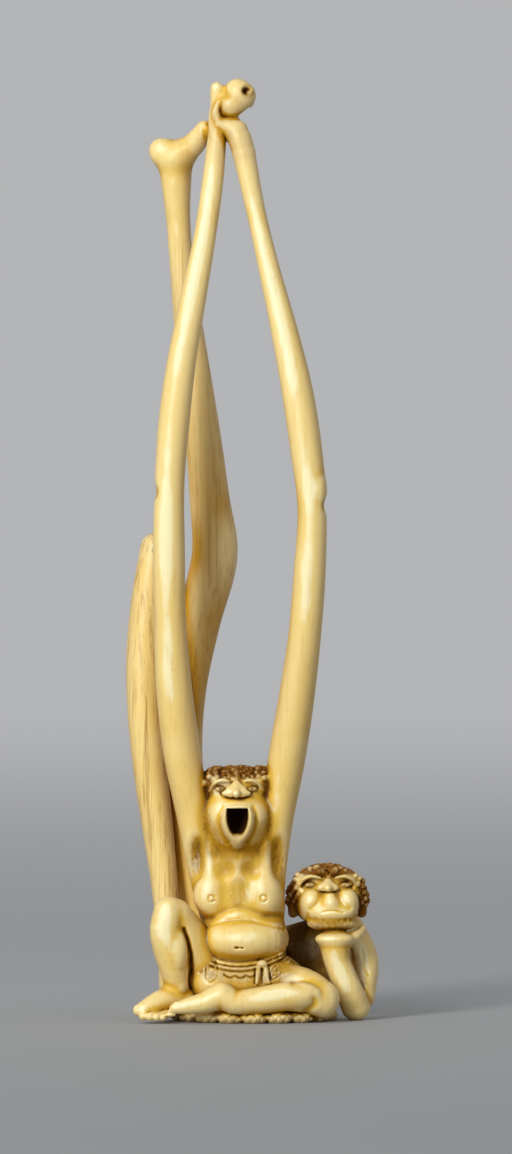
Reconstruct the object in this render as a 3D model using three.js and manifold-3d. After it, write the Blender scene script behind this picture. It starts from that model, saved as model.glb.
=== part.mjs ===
// A tall ivory netsuke, carved from one piece. A pot-bellied, long-armed figure sits yawning, both arms
// stretched up to clasped fists. A long-legged figure reclines behind it, chin on hand: one leg is folded
// beside the sitter and the other rises to rest its toes against the fists.
// Millimetres. X runs to the viewer's right, Y away from the viewer, Z up from the surface it stands on.
import * as THREE from "three";
import { mergeVertices } from "three/addons/utils/BufferGeometryUtils.js";
import Module from "manifold-3d";

const wasm = await Module();
wasm.setup();

// ---------------------------------------------------------------- driving dimensions
const HEIGHT = 127;
const HIP_Z = 0.07 * HEIGHT;
const SHOULDER_Z = 0.145 * HEIGHT;
const KNEE_Z = 0.49 * HEIGHT;
const ELBOW_Z = 0.555 * HEIGHT;
const WRIST_Z = 0.937 * HEIGHT;
const TOLERANCE = 0.05; // how far the simplified surface may move
const SLIVER = 1e-3; // square millimetres, doubled, of a face too thin to have a plane

// ---------------------------------------------------------------- shapes
/** Moves a geometry, or a list of them, by a turn in degrees about X, Y and Z and then a shift. */
function place(shapes, shift, turn = [0, 0, 0]) {
  const angles = turn.map(THREE.MathUtils.degToRad);
  const matrix = new THREE.Matrix4().makeRotationFromEuler(new THREE.Euler(...angles));
  matrix.setPosition(...shift);
  [shapes].flat().forEach((shape) => shape.applyMatrix4(matrix));
  return shapes;
}

/** An ellipsoid with radii along its own axes, turned by degrees about X, Y and Z. */
function ball(centre, radii, { turn, sides = 12, rings = 8 } = {}) {
  const geometry = new THREE.SphereGeometry(1, sides, rings);
  geometry.scale(...radii);
  return place(geometry, centre, turn);
}

/**
 * A round-ended limb along the smooth line through its stations, [x, y, z, radius] each.
 * side is any direction across the limb, and depth its depth for each unit of its width.
 */
function limb(stations, { sides = 8, rings = 3, depth = 1, side = [0, 1, 0] } = {}) {
  const smooth = (points) => new THREE.CatmullRomCurve3(points, false, "catmullrom", 0.5);
  const line = smooth(stations.map(([x, y, z]) => new THREE.Vector3(x, y, z)));
  const girth = smooth(stations.map(([, , , radius]) => new THREE.Vector3(radius, 0, 0)));
  const geometry = new THREE.CapsuleGeometry(1, 2, 2, sides, rings * (stations.length - 1));
  const position = geometry.attributes.position;
  const deep = new THREE.Vector3(...side);
  const point = new THREE.Vector3();
  for (let i = 0; i < position.count; i += 1) {
    point.fromBufferAttribute(position, i);
    const along = THREE.MathUtils.clamp(point.y, -1, 1);
    const share = (along + 1) / 2;
    const tangent = line.getTangent(share);
    const wide = new THREE.Vector3().crossVectors(deep, tangent).normalize();
    const front = new THREE.Vector3().crossVectors(wide, tangent);
    const offset = wide.multiplyScalar(point.x);
    offset.addScaledVector(front, point.z * depth);
    offset.addScaledVector(tangent, point.y - along);
    point.copy(line.getPoint(share)).addScaledVector(offset, girth.getPoint(share).x);
    position.setXYZ(i, point.x, point.y, point.z);
  }
  return geometry;
}

/**
 * The stations of one long bone from joint to joint, with its girths spread evenly along it. It bows to one
 * side in a single arc, and sways as an S on top of that. Both are [x, y] at their widest.
 */
function bone(from, to, { bow = [0, 0], sway = [0, 0], girths }) {
  return girths.map((girth, step) => {
    const share = step / (girths.length - 1);
    const [x, y, z] = from.map((value, axis) => THREE.MathUtils.lerp(value, to[axis], share));
    const arc = Math.sin(Math.PI * share);
    const wave = Math.sin(2 * Math.PI * share);
    return [x + bow[0] * arc + sway[0] * wave, y + bow[1] * arc + sway[1] * wave, z, girth];
  });
}

/** Two long bones that share the joint between them. */
const twoBones = (upper, lower) => [...upper, ...lower.slice(1)];

/** The same shape on both sides: make is called with -1 and with 1. */
const pair = (make) => [-1, 1].flatMap(make);

/** A closed geometry as a solid that can be joined and cut. */
function solid(geometry) {
  const bare = geometry.clone();
  bare.deleteAttribute("normal");
  bare.deleteAttribute("uv");
  const merged = mergeVertices(bare, 1e-4);
  const vertProperties = merged.attributes.position.array;
  const triVerts = new Uint32Array(merged.index.array);
  return new wasm.Manifold(new wasm.Mesh({ numProp: 3, vertProperties, triVerts }));
}

const join = (shapes) => shapes.map(solid).reduce((whole, next) => whole.add(next));

// ---------------------------------------------------------------- heads
/**
 * A skull of the given radii under curly hair. Its poles lie fore and aft, so its rings close in on the
 * face. In every second ring of the hair, every second vertex is the top of a curl. brow and nape are where
 * the hair ends, as shares of the skull's height, at the front and behind. The lower the squareness, the
 * boxier the head is from the front.
 */
function skull(radii, { sides = 32, rings = 20, brow, nape, hair = 0.3, curl = 0.25, squareness = 0.8 }) {
  const geometry = new THREE.SphereGeometry(1, sides, rings);
  const position = geometry.attributes.position;
  const point = new THREE.Vector3();
  const size = new THREE.Vector3(...radii);
  for (let i = 0; i < position.count; i += 1) {
    point.fromBufferAttribute(position, i);
    const column = i % (sides + 1);
    const row = Math.floor(i / (sides + 1));
    const behind = (1 + point.y) / 2;
    const hairline = THREE.MathUtils.lerp(brow, nape, Math.sqrt(behind));
    const hairy = THREE.MathUtils.smoothstep(point.z, hairline - 0.08, hairline + 0.08);
    const pole = row === 0 || row === rings;
    const staggered = (column % sides) + row / 2;
    const top = !pole && row % 2 === 0 && staggered % 2 === 0 ? 1 : -0.5;
    const outward = point.clone();
    point.x = Math.sign(point.x) * Math.abs(point.x) ** squareness;
    point.multiply(size).addScaledVector(outward, hairy * (hair + curl * top));
    position.setXYZ(i, point.x, point.y, point.z);
  }
  return geometry;
}

/** Brows, eyes, cheeks, nose and ears of a round face that looks along -Y, each at its own height. */
function features({ brow, eye, nose, cheek, ear }) {
  const ridge = [
    [0, -4.6, nose + 2.1, 0.5],
    [0, -5.4, nose + 0.9, 0.7],
    [0, -6.0, nose, 0.85],
  ];
  const browLine = (side) => [
    [side * 0.5, -4.9, brow - 0.3, 0.4],
    [side * 1.9, -4.6, brow + 0.1, 0.5],
    [side * 3.4, -3.3, brow - 0.6, 0.4],
  ];
  return [
    limb(ridge, { sides: 6, rings: 1 }),
    ...pair((side) => [
      ball([side * 1.0, -5.1, nose - 0.3], [0.65, 0.8, 0.55], { sides: 6, rings: 4 }),
      ball([side * 1.9, -4.4, eye], [0.9, 0.6, 0.45], { sides: 6, rings: 4 }),
      ball([side * 2.3, -3.2, cheek], [1.6, 1.6, 1.8], { sides: 8, rings: 6 }),
      limb(browLine(side), { sides: 5, rings: 1 }),
      ball([side * 4.3, 0.2, ear], [0.6, 1.1, 1.4], { sides: 6, rings: 4 }),
    ]),
  ];
}

// ---------------------------------------------------------------- the long-armed sitter
const SITTER_HEAD = [-1.8, -3.4, 29.0];
const SITTER_TILT = -28;

/** A ring of lips round the yawn, which is cut afterwards. */
function lips([x, y, z], wide, high, thick) {
  const steps = 8;
  const stations = [];
  for (let step = 0; step <= steps; step += 1) {
    const angle = (step / steps) * 2 * Math.PI + Math.PI / 2;
    const across = Math.cos(angle);
    const up = Math.sin(angle);
    stations.push([x + wide * across, y - 0.25 * up, z + high * up, thick]);
  }
  return limb(stations, { sides: 5, rings: 1 });
}

/** Curls of beard from ear to ear under the chin. */
function beard() {
  const made = [];
  for (let swing = -80; swing <= 80; swing += 20) {
    const angle = THREE.MathUtils.degToRad(swing);
    const chin = Math.cos(angle);
    const centre = [3.9 * Math.sin(angle), -1.4 - 1.7 * chin, -3.0 - 3.6 * chin];
    made.push(ball(centre, [0.85, 0.85, 0.85], { sides: 5, rings: 3 }));
  }
  return made;
}

function sitterHead() {
  const solids = [
    skull([4.3, 4.5, 4.7], { brow: 0.6, nape: -0.6, squareness: 0.65 }),
    ball([0, -1.3, -3.2], [3.6, 3.5, 4.2], { sides: 12, rings: 8 }),
    ...features({ brow: 2.1, eye: 1.0, nose: -0.4, cheek: -1.5, ear: -0.6 }),
    lips([0, -4.25, -4.4], 1.8, 2.3, 0.45),
    ...beard(),
  ];
  const cuts = [ball([0, -5.6, -4.4], [1.6, 2.8, 2.2], { sides: 10, rings: 8 })];
  place([...solids, ...cuts], SITTER_HEAD, [SITTER_TILT, 0, 0]);
  return { solids, cuts };
}

function sitterBody() {
  return {
    solids: [
      ball([-0.9, -4.6, 11.3], [5.8, 5.4, 4.6], { sides: 14, rings: 9 }),
      ball([-1.1, -2.9, 15.8], [5.9, 4.1, 7.4], { sides: 14, rings: 8 }),
      ball([-1.0, -2.2, 5.6], [8.6, 6.8, 4.6], { sides: 14, rings: 8 }),
      ball([-1.7, -1.9, 20.6], [6.0, 3.1, 5.0], { sides: 12, rings: 8 }),
      limb([[-1.7, -2.0, 20, 4.0], [-1.8, -2.6, 26, 3.6]], { rings: 1 }),
      ...pair((side) => ball([-1.7 + side * 3.0, -4.5, 16.8], [3.3, 2.3, 3.2], { sides: 10, rings: 8 })),
    ],
    cuts: [ball([-1.6, -10.2, 10.4], [0.35, 0.9, 0.25], { sides: 5, rings: 4 })],
  };
}

// Each arm rises from its shoulder to the elbow, where it is widest from its fellow, and on to the wrist.
const RIGHT_ELBOW = [-10.9, -7.2, ELBOW_Z + 1.5];
const LEFT_ELBOW = [8.2, -7.2, ELBOW_Z - 1.5];
const RIGHT_ARM = twoBones(
  bone([-5.6, -2.4, SHOULDER_Z], RIGHT_ELBOW, {
    bow: [-2.1, -0.3],
    sway: [-0.1, 0.35],
    girths: [2.4, 2.3, 2.5, 2.4, 2.15, 2.15, 2.0],
  }),
  bone(RIGHT_ELBOW, [-4.3, 0.2, WRIST_Z + 2.5], {
    bow: [-0.2, -1.2],
    sway: [-0.5, -0.1],
    girths: [2.0, 2.1, 1.95, 1.75, 1.5, 1.42, 1.15],
  }),
);
const LEFT_ARM = twoBones(
  bone([2.2, -2.4, SHOULDER_Z], LEFT_ELBOW, {
    bow: [0.95, -0.3],
    sway: [-0.25, 0.4],
    girths: [2.3, 2.2, 2.5, 2.4, 2.2, 2.15, 1.95],
  }),
  bone(LEFT_ELBOW, [-0.95, -1.5, WRIST_Z - 2.4], {
    bow: [0.85, -0.55],
    sway: [0.35, -0.25],
    girths: [1.95, 2.15, 2.1, 1.8, 1.45, 1.3, 1.55],
  }),
);

/** The right fist above, with its four fingers as rolls, gripped round the wrist by the left hand. */
function hands() {
  const heel = [-3.3, -0.4, 122.2];
  const tip = [-0.75, -0.7, 124.9];
  const rolls = [];
  for (let finger = 0; finger < 4; finger += 1) {
    const share = (finger + 0.5) / 4;
    const centre = heel.map((value, axis) => THREE.MathUtils.lerp(value, tip[axis], share));
    rolls.push(ball(centre, [2.1, 2.1, 0.85], { turn: [0, 44, 0], sides: 8, rings: 6 }));
  }
  const thumb = [
    [-4.2, -1.8, 123.0, 0.35],
    [-4.9, -1.9, 121.7, 0.5],
    [-3.9, -1.8, 120.6, 0.8],
  ];
  const leftPalm = [
    [-0.95, -1.5, 116.6, 1.6],
    [-1.9, -1.4, 119.1, 1.6],
    [-3.7, -1.0, 120.6, 1.15],
  ];
  const leftFingers = [
    [-1.6, 0.0, 118.8, 1.1],
    [-2.6, 1.2, 120.4, 1.0],
    [-4.4, 1.4, 120.9, 0.9],
  ];
  return {
    solids: [
      limb([[...heel, 1.5], [...tip, 1.5]], { rings: 1 }),
      ...rolls,
      ball([-4.15, 0.3, 123.4], [1.25, 1.7, 2.6], { sides: 8, rings: 6 }),
      limb(thumb, { sides: 6, rings: 2 }),
      limb(leftPalm, { rings: 2 }),
      limb(leftFingers, { sides: 6, rings: 2 }),
    ],
    cuts: [ball([0.2, -1.8, 124.9], [0.75, 0.75, 0.75], { sides: 8, rings: 6 })],
  };
}

const RAISED_LEG = {
  thigh: [
    [-5.8, -2.6, 7.0, 3.4],
    [-8.6, -5.4, 11.5, 2.8],
    [-10.9, -7.4, 15.0, 2.3],
  ],
  shin: [
    [-11.0, -7.6, 15.0, 2.2],
    [-11.3, -7.8, 12.6, 2.3],
    [-10.8, -7.2, 9.4, 2.3],
    [-10.2, -6.5, 6.6, 1.9],
    [-9.8, -6.0, 4.4, 1.6],
  ],
  foot: [
    [-8.8, -5.4, 2.2, 1.7],
    [-11.2, -6.8, 2.5, 1.6],
    [-13.3, -8.0, 1.6, 1.3],
  ],
};
const FOLDED_LEG = {
  thigh: [
    [2.0, -3.5, 6.0, 3.2],
    [6.8, -5.6, 5.2, 2.9],
    [9.5, -7.0, 3.6, 2.5],
  ],
  shin: [
    [9.4, -7.6, 2.9, 2.2],
    [5.4, -9.2, 3.5, 2.3],
    [0.0, -10.4, 2.9, 1.65],
    [-3.9, -10.4, 3.7, 1.75],
    [-7.4, -10.2, 2.8, 1.25],
    [-10.6, -9.9, 2.2, 1.0],
  ],
};

/** A row of toes from the big one outwards. */
function toes(start, step, size, count = 5) {
  const made = [];
  for (let index = 0; index < count; index += 1) {
    const radius = size * (index === 0 ? 1.25 : 1 - 0.06 * index);
    const centre = start.map((value, axis) => value + step[axis] * index);
    made.push(ball(centre, [radius * 1.4, radius, radius], { sides: 6, rings: 4 }));
  }
  return made;
}

/** The scalloped hem of the skirt, round the front of the hips. */
function skirt() {
  const made = [];
  const scallops = 11;
  const spread = 75;
  for (let index = 0; index < scallops; index += 1) {
    const degrees = THREE.MathUtils.lerp(-spread, spread, index / (scallops - 1));
    const swing = THREE.MathUtils.degToRad(degrees);
    const centre = [-1.2 + 7.6 * Math.sin(swing), -2.4 - 6.9 * Math.cos(swing), 6.6];
    made.push(ball(centre, [1.15, 0.7, 1.7], { turn: [0, 0, degrees], sides: 7, rings: 4 }));
  }
  return made;
}

// ---------------------------------------------------------------- the long-legged recliner
const RECLINER_HEAD = [10.4, 0.6, 16.1];
const RECLINER_TURN = [-34, 0, 6];

function reclinerHead() {
  const solids = [
    skull([4.3, 4.4, 4.2], { brow: 0.52, nape: -0.65 }),
    ball([0, -2.0, -2.6], [3.3, 3.0, 2.9], { sides: 12, rings: 8 }),
    ball([0, -4.4, -2.1], [1.4, 1.0, 1.2], { sides: 8, rings: 6 }),
    ball([0, -4.3, -3.8], [1.2, 1.0, 0.7], { sides: 8, rings: 6 }),
    ...features({ brow: 1.9, eye: 0.9, nose: -0.3, cheek: -1.4, ear: -0.6 }),
  ];
  return place(solids, RECLINER_HEAD, RECLINER_TURN);
}

const PROP_ARM = {
  upper: [
    [12.6, 5.6, 12.0, 2.6],
    [15.1, 3.2, 8.0, 2.05],
    [14.8, 0.2, 3.2, 1.95],
  ],
  fore: [
    [14.1, -1.2, 1.8, 1.95],
    [13.1, -2.2, 4.4, 1.95],
    [11.7, -2.6, 8.0, 1.85],
    [11.4, -2.4, 11.0, 2.2],
  ],
};
const RECLINER_BODY = [
  [10.5, 5.5, 9.4, 4.4],
  [5.5, 6.2, 7.6, 4.7],
  [0, 6.5, 5.8, 4.6],
  [-4.5, 6.0, 5.2, 4.6],
];
const HIPS = [-4.2, 6.6, HIP_Z];
// The raised leg bends at its knee and ends at a knobbed heel, with the foot reaching over to the fists.
const RAISED_KNEE = [-4.9, 5.5, KNEE_Z];
const RAISED_LIMB = twoBones(
  bone(HIPS, RAISED_KNEE, {
    bow: [-4.6, 1.5],
    sway: [0, 0.4],
    girths: [4.4, 3.3, 2.8, 2.6, 2.65, 2.95, 3.1],
  }),
  bone(RAISED_KNEE, [-10.2, 3.9, 0.91 * HEIGHT], {
    bow: [-0.3, 0.1],
    sway: [0.3, 0],
    girths: [3.1, 2.7, 2.45, 2.2, 1.95, 1.65, 1.65, 2.3],
  }),
);
const RAISED_FOOT = [
  [-12.0, 4.4, 116.9, 1.75],
  [-10.2, 3.7, 116.4, 1.7],
  [-7.9, 2.7, 117.6, 1.6],
  [-6.2, 1.6, 119.8, 1.2],
];
// The folded leg rises beside it and comes down again to a foot behind the sitter's raised shin.
const FOLDED_LIMB = {
  thigh: bone([-5.2, 4.8, HIP_Z], [-12.3, 3.6, KNEE_Z - 1.0], {
    bow: [-1.5, -0.3],
    sway: [-0.6, -0.2],
    girths: [3.8, 2.9, 2.6, 2.5, 2.4, 2.2],
  }),
  shin: bone([-12.9, 3.2, KNEE_Z + 1.2], [-10.6, -1.6, 3.4], {
    bow: [-1.75, 0],
    sway: [-0.75, -0.3],
    girths: [2.0, 2.35, 2.5, 2.4, 2.3, 2.1, 1.8, 1.6, 1.7],
  }),
  foot: [[-9.8, -0.4, 2.2, 1.6], [-11.4, -3.2, 1.7, 1.3]],
};

/** The low mat that everything stands on, with a fringe of leaves round its front. */
function mat() {
  const [x, y, z] = [0.6, -0.2, 0.9];
  const [wide, deep, thick] = [10.6, 9.8, 1.4];
  const inset = 0.92;
  const leaves = 13;
  const spread = 96;
  const made = [ball([x, y, z], [wide, thick, deep], { turn: [90, 0, 0], sides: 20, rings: 6 })];
  for (let index = 0; index < leaves; index += 1) {
    const swing = THREE.MathUtils.degToRad(THREE.MathUtils.lerp(-spread, spread, index / (leaves - 1)));
    const centre = [x + inset * wide * Math.sin(swing), y - inset * deep * Math.cos(swing), z];
    made.push(ball(centre, [1.4, 1.4, 0.8], { sides: 6, rings: 3 }));
  }
  return made;
}

// ---------------------------------------------------------------- the whole carving
function carving() {
  const sitter = sitterHead();
  const torso = sitterBody();
  const grip = hands();
  const solids = [
    ...torso.solids,
    ...sitter.solids,
    limb(RIGHT_ARM, { rings: 2 }),
    limb(LEFT_ARM, { rings: 2 }),
    ...grip.solids,
    limb(RAISED_LEG.thigh, { sides: 10 }),
    limb(RAISED_LEG.shin, { sides: 10 }),
    limb(RAISED_LEG.foot, { side: [0, 0, 1] }),
    ...toes([-15.2, -7.2, 1.5], [0.5, -0.8, -0.1], 0.65),
    limb(FOLDED_LEG.thigh, { sides: 10, side: [0, 0, 1] }),
    limb(FOLDED_LEG.shin, { sides: 10, side: [0, 0, 1] }),
    ...skirt(),
    ...mat(),
    ...reclinerHead(),
    limb(RECLINER_BODY, { sides: 12, side: [0, 0, 1] }),
    limb(PROP_ARM.upper),
    limb(PROP_ARM.fore),
    limb(RAISED_LIMB, { rings: 2 }),
    limb(RAISED_FOOT, { rings: 2 }),
    limb(FOLDED_LIMB.thigh, { rings: 2 }),
    limb(FOLDED_LIMB.shin, { rings: 2 }),
    limb(FOLDED_LIMB.foot, { rings: 1 }),
  ];
  const whole = join(solids);
  const cuts = join([...sitter.cuts, ...torso.cuts, ...grip.cuts]);
  const slab = 20;
  const below = place(new THREE.BoxGeometry(HEIGHT, HEIGHT, slab), [0, 0, -slab / 2]);
  return whole.subtract(cuts).subtract(solid(below));
}

/**
 * Leaves out the corners that the joins add and the shape doesn't need. An edge shrinks to one of its ends,
 * or to its middle, where that moves the surface by less than the tolerance, keeps it closed and turns no
 * face over.
 */
function simplified({ vertProperties, triVerts }, tolerance) {
  const points = [];
  const facesAt = [];
  for (let i = 0; i < vertProperties.length; i += 3) {
    points.push(new THREE.Vector3().fromArray(vertProperties, i));
    facesAt.push(new Set());
  }
  const faces = [];
  for (let i = 0; i < triVerts.length; i += 3) {
    const face = Array.from(triVerts.slice(i, i + 3));
    face.forEach((corner) => facesAt[corner].add(face));
    faces.push(face);
  }
  const crossOf = (a, b, c) => b.clone().sub(a).cross(c.clone().sub(a));
  const neighbours = (corner) => new Set([...facesAt[corner]].flat().filter((other) => other !== corner));

  /** How far a point lies from the plane of a face. Slivers have no plane to speak of. */
  const distance = (face, point) => {
    const [a, b, c] = face.map((corner) => points[corner]);
    const cross = crossOf(a, b, c);
    const size = cross.length();
    return size < SLIVER ? 0 : Math.abs(cross.dot(point.clone().sub(a))) / size;
  };

  const turnsOver = (face, ends, point) => {
    const was = crossOf(...face.map((corner) => points[corner]));
    const is = crossOf(...face.map((corner) => (ends.includes(corner) ? point : points[corner])));
    const agree = was.length() < SLIVER || was.dot(is) > 0.3 * was.length() * is.length();
    return !agree || is.length() < SLIVER;
  };

  const shrink = (a, b, limit) => {
    const around = new Set([...facesAt[a], ...facesAt[b]]);
    const shared = [...facesAt[a]].filter((face) => facesAt[b].has(face));
    const common = [...neighbours(a)].filter((corner) => neighbours(b).has(corner));
    if (common.length !== 2) return;
    const choices = [points[a].clone(), points[b].clone(), points[a].clone().lerp(points[b], 0.5)];
    const errors = choices.map((point) => Math.max(...[...around].map((face) => distance(face, point))));
    const least = Math.min(...errors);
    const point = choices[errors.indexOf(least)];
    const kept = [...around].filter((face) => !shared.includes(face));
    if (least > limit || kept.some((face) => turnsOver(face, [a, b], point))) return;
    points[a].copy(point);
    shared.forEach((face) => face.forEach((corner) => facesAt[corner].delete(face)));
    [...facesAt[b]].forEach((face) => {
      face[face.indexOf(b)] = a;
      facesAt[a].add(face);
    });
    facesAt[b].clear();
  };

  [0.1, 0.3, 0.6, 1].forEach((share) => {
    faces.forEach((face) => {
      [0, 1, 2].forEach((i) => {
        const [a, b] = [face[i], face[(i + 1) % 3]];
        if (facesAt[a].has(face) && facesAt[b].has(face)) shrink(a, b, share * tolerance);
      });
    });
  });
  const left = faces.filter((face) => facesAt[face[0]].has(face));
  const positions = left.flat().flatMap((corner) => points[corner].toArray());
  const geometry = new THREE.BufferGeometry();
  geometry.setAttribute("position", new THREE.Float32BufferAttribute(positions, 3));
  return mergeVertices(geometry, 1e-5);
}

const ivory = new THREE.MeshStandardMaterial({ color: 0xdcc07a, roughness: 0.35, metalness: 0 });
const netsuke = new THREE.Mesh(simplified(carving().getMesh(), TOLERANCE), ivory);
netsuke.name = "netsuke";
netsuke.geometry.computeBoundingBox();
const middle = netsuke.geometry.boundingBox.getCenter(new THREE.Vector3());
netsuke.position.set(-middle.x, -middle.y, 0);

const object = new THREE.Group();
object.add(netsuke);
export default object;
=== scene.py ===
"""A tall ivory netsuke: a long-armed figure yawns, and a long-legged one reclines behind it, chin on hand.

The carving is sculpted as one field of distances, in millimetres, on a grid: shapes are joined softly, cut
and engraved, and the field's zero surface becomes the mesh. X runs to the viewer's right, Y away, Z up.
"""

import math

import bpy
import numpy as np
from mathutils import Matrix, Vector


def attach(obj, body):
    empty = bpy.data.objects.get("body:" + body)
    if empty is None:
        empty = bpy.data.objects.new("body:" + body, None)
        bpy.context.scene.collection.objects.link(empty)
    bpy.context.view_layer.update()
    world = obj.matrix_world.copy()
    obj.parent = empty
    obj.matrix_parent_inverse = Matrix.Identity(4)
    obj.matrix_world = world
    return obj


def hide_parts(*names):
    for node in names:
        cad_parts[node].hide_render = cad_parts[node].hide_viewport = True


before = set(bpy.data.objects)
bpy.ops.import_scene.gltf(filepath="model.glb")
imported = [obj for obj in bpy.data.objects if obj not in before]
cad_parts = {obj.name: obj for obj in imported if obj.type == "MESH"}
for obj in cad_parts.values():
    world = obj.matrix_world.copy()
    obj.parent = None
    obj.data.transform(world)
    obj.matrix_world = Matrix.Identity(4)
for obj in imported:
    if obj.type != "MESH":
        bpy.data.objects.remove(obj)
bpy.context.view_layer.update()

# ---------------------------------------------------------------- sizes, in millimetres
MM = 0.001
HEIGHT = 127.0
HIP_Z = 0.07 * HEIGHT
SHOULDER_Z = 0.145 * HEIGHT
KNEE_Z = 0.49 * HEIGHT
ELBOW_Z = 0.555 * HEIGHT
WRIST_Z = 0.937 * HEIGHT
ORIGIN = np.array([-0.19, 0.54, 0.0])  # from the carving's own origin to the frame's

GRID = 0.14  # spacing of the sculpting grid where there is fine carving
COARSE = 0.45  # spacing along the plain stretches of the long limbs
FIGURES_TOP = 37.0  # the grid is fine below this height
HANDS_BOTTOM = 108.0  # and above this one
FAR = 4.0  # the distance given to every place that no shape is near
MARGIN = 0.9  # how far outside a shape its distance is worked out
TRIANGLES = 196000

# the points of the mesh are pulled onto the surface this often, and this far at most each time
PULLS = 2
LONGEST_PULL = 0.1
LEAST_STEEP = 0.2  # the least slope of the field that a pull is worked out from

# how the hollows that hold the stain are found
FINE_REACH = 2  # in steps of the grid
WIDE_REACH = 6
HOLLOW_CONTRAST = 4
BARE = 8.0  # the limbs are bare from this far above the figures to this far below the hands
CHANGE_WIDTH = 2.0  # a hollow's value fades in over this height from where the grid changes its step,
CHANGE_START = 0.4  # after this share of it

# the colours of the ivory, as linear light, from worn and painted highlight to stain and painted shade
IVORY_WORN_AND_HIGHLIGHT = (1.0, 0.88, 0.50, 1)
IVORY_CREAM = (0.85, 0.55, 0.075, 1)
IVORY_HONEY_AND_SHADE = (0.60, 0.315, 0.010, 1)
IVORY_OCHRE = (0.36, 0.16, 0.007, 1)
IVORY_TOBACCO = (0.22, 0.08, 0.004, 1)
IVORY_BROWN = (0.07, 0.022, 0.003, 1)
IVORY_DARK = (0.02, 0.005, 0.003, 1)
LIGHT_SIDE = (-0.20, -0.945, 0.26)  # painted highlight and shade: the ivory is painted palest where it faces this way, roughly towards the key light, and honey where it turns away

# the stage, in metres
# the floor is painted darker in front and paler behind, a painted shade
FLOOR_NEAR_SHADED = (0.20, 0.215, 0.22, 1)
FLOOR_FAR = (0.38, 0.39, 0.395, 1)
FLOOR_REACH = 1.3
FLOOR_SIDES = 96
KEY_PLACE = (-0.42, -0.70, 0.40)
KEY_TARGET = (0, 0, 0.05)
KEY_SIZE = (0.20, 0.5)
KEY_POWER = 5.9
AIR_COLOUR = (0.97, 0.98, 1.0, 1)
AIR_STRENGTH = 0.47
VIEW_TARGET = (0.0005, 0, 0.0596)
VIEW_HEIGHT = 0.1552  # what the picture shows at the carving
VIEW_ELEVATION = math.radians(1.5)
LENS = 420  # in millimetres, like the sensor
SENSOR_HEIGHT = 36


# ---------------------------------------------------------------- shapes
def turned(degrees):
    """The matrix that turns about Z, then Y, then X."""
    x, y, z = np.radians(degrees)
    about_x = np.array([[1, 0, 0], [0, math.cos(x), -math.sin(x)], [0, math.sin(x), math.cos(x)]])
    about_y = np.array([[math.cos(y), 0, math.sin(y)], [0, 1, 0], [-math.sin(y), 0, math.cos(y)]])
    about_z = np.array([[math.cos(z), -math.sin(z), 0], [math.sin(z), math.cos(z), 0], [0, 0, 1]])
    return about_x @ about_y @ about_z


class Ball:
    """An ellipsoid. top cuts it off flat at that height."""

    def __init__(self, centre, radii, turn=(0, 0, 0), top=None):
        self.centre = np.array(centre, float)
        self.radii = np.array(radii, float)
        self.axes = turned(turn)
        self.top = top
        reach = np.sqrt(((self.axes * self.radii) ** 2).sum(axis=1))
        self.low = self.centre - reach
        self.high = self.centre + reach

    def distance(self, x, y, z):
        offset = (x - self.centre[0], y - self.centre[1], z - self.centre[2])
        near = 0.0
        steep = 0.0
        for axis, radius in zip(self.axes.T, self.radii):
            along = sum(part * share for part, share in zip(offset, axis)) / radius
            near = near + along ** 2
            steep = steep + (along / radius) ** 2
        size = np.sqrt(near)
        distance = size * (size - 1) / np.sqrt(steep + 1e-9)
        return distance if self.top is None else np.maximum(distance, z - self.top)


class Limb:
    """A round-ended limb along the smooth line through its stations, [x, y, z, radius] each."""

    def __init__(self, stations, step=0.8):
        stations = np.array(stations, float)
        ends = np.concatenate([[2 * stations[0] - stations[1]], stations, [2 * stations[-1] - stations[-2]]])
        samples = []
        for a, b, c, d in zip(ends, ends[1:], ends[2:], ends[3:]):
            count = max(2, int(np.linalg.norm((c - b)[:3]) / step))
            t = np.linspace(0, 1, count, endpoint=False)[:, None]
            samples.append(
                b + 0.5 * t * (c - a) + t ** 2 * (a - 2.5 * b + 2 * c - 0.5 * d)
                + t ** 3 * (1.5 * b - 1.5 * c + 0.5 * d - 0.5 * a)
            )
        self.line = np.concatenate([*samples, stations[-1:]])
        self.low = (self.line[:, :3] - self.line[:, 3:]).min(axis=0)
        self.high = (self.line[:, :3] + self.line[:, 3:]).max(axis=0)

    def distance(self, x, y, z):
        found = np.full(np.broadcast_shapes(x.shape, y.shape, z.shape), FAR, np.float32)
        for a, b in zip(self.line, self.line[1:]):
            reach = max(a[3], b[3]) + MARGIN
            window = clip_window((x.ravel(), y.ravel(), z.ravel()), np.minimum(a, b)[:3] - reach,
                                 np.maximum(a, b)[:3] + reach)
            px = x[window[0]] - a[0]
            py = y[:, window[1]] - a[1]
            pz = z[:, :, window[2]] - a[2]
            dx, dy, dz = (b - a)[:3]
            length = dx * dx + dy * dy + dz * dz + 1e-9
            along = px * dx + py * dy + pz * dz
            across = np.sqrt(np.maximum(px * px + py * py + pz * pz - along * along / length, 0))
            # where the limb tapers, the nearest point of its surface is a little towards the thick end
            t = np.clip((along + (b[3] - a[3]) * across) / length, 0, 1)
            away = np.sqrt((px - t * dx) ** 2 + (py - t * dy) ** 2 + (pz - t * dz) ** 2)
            away -= a[3] + t * (b[3] - a[3])
            part = found[window]
            np.minimum(part, away, out=part)
        return found


def clip_window(axes, low, high):
    """The slices of the axes that hold everything between two corners."""
    return tuple(
        slice(max(int(np.searchsorted(axis, a)) - 1, 0), int(np.searchsorted(axis, b)) + 1)
        for axis, a, b in zip(axes, low, high)
    )


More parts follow.
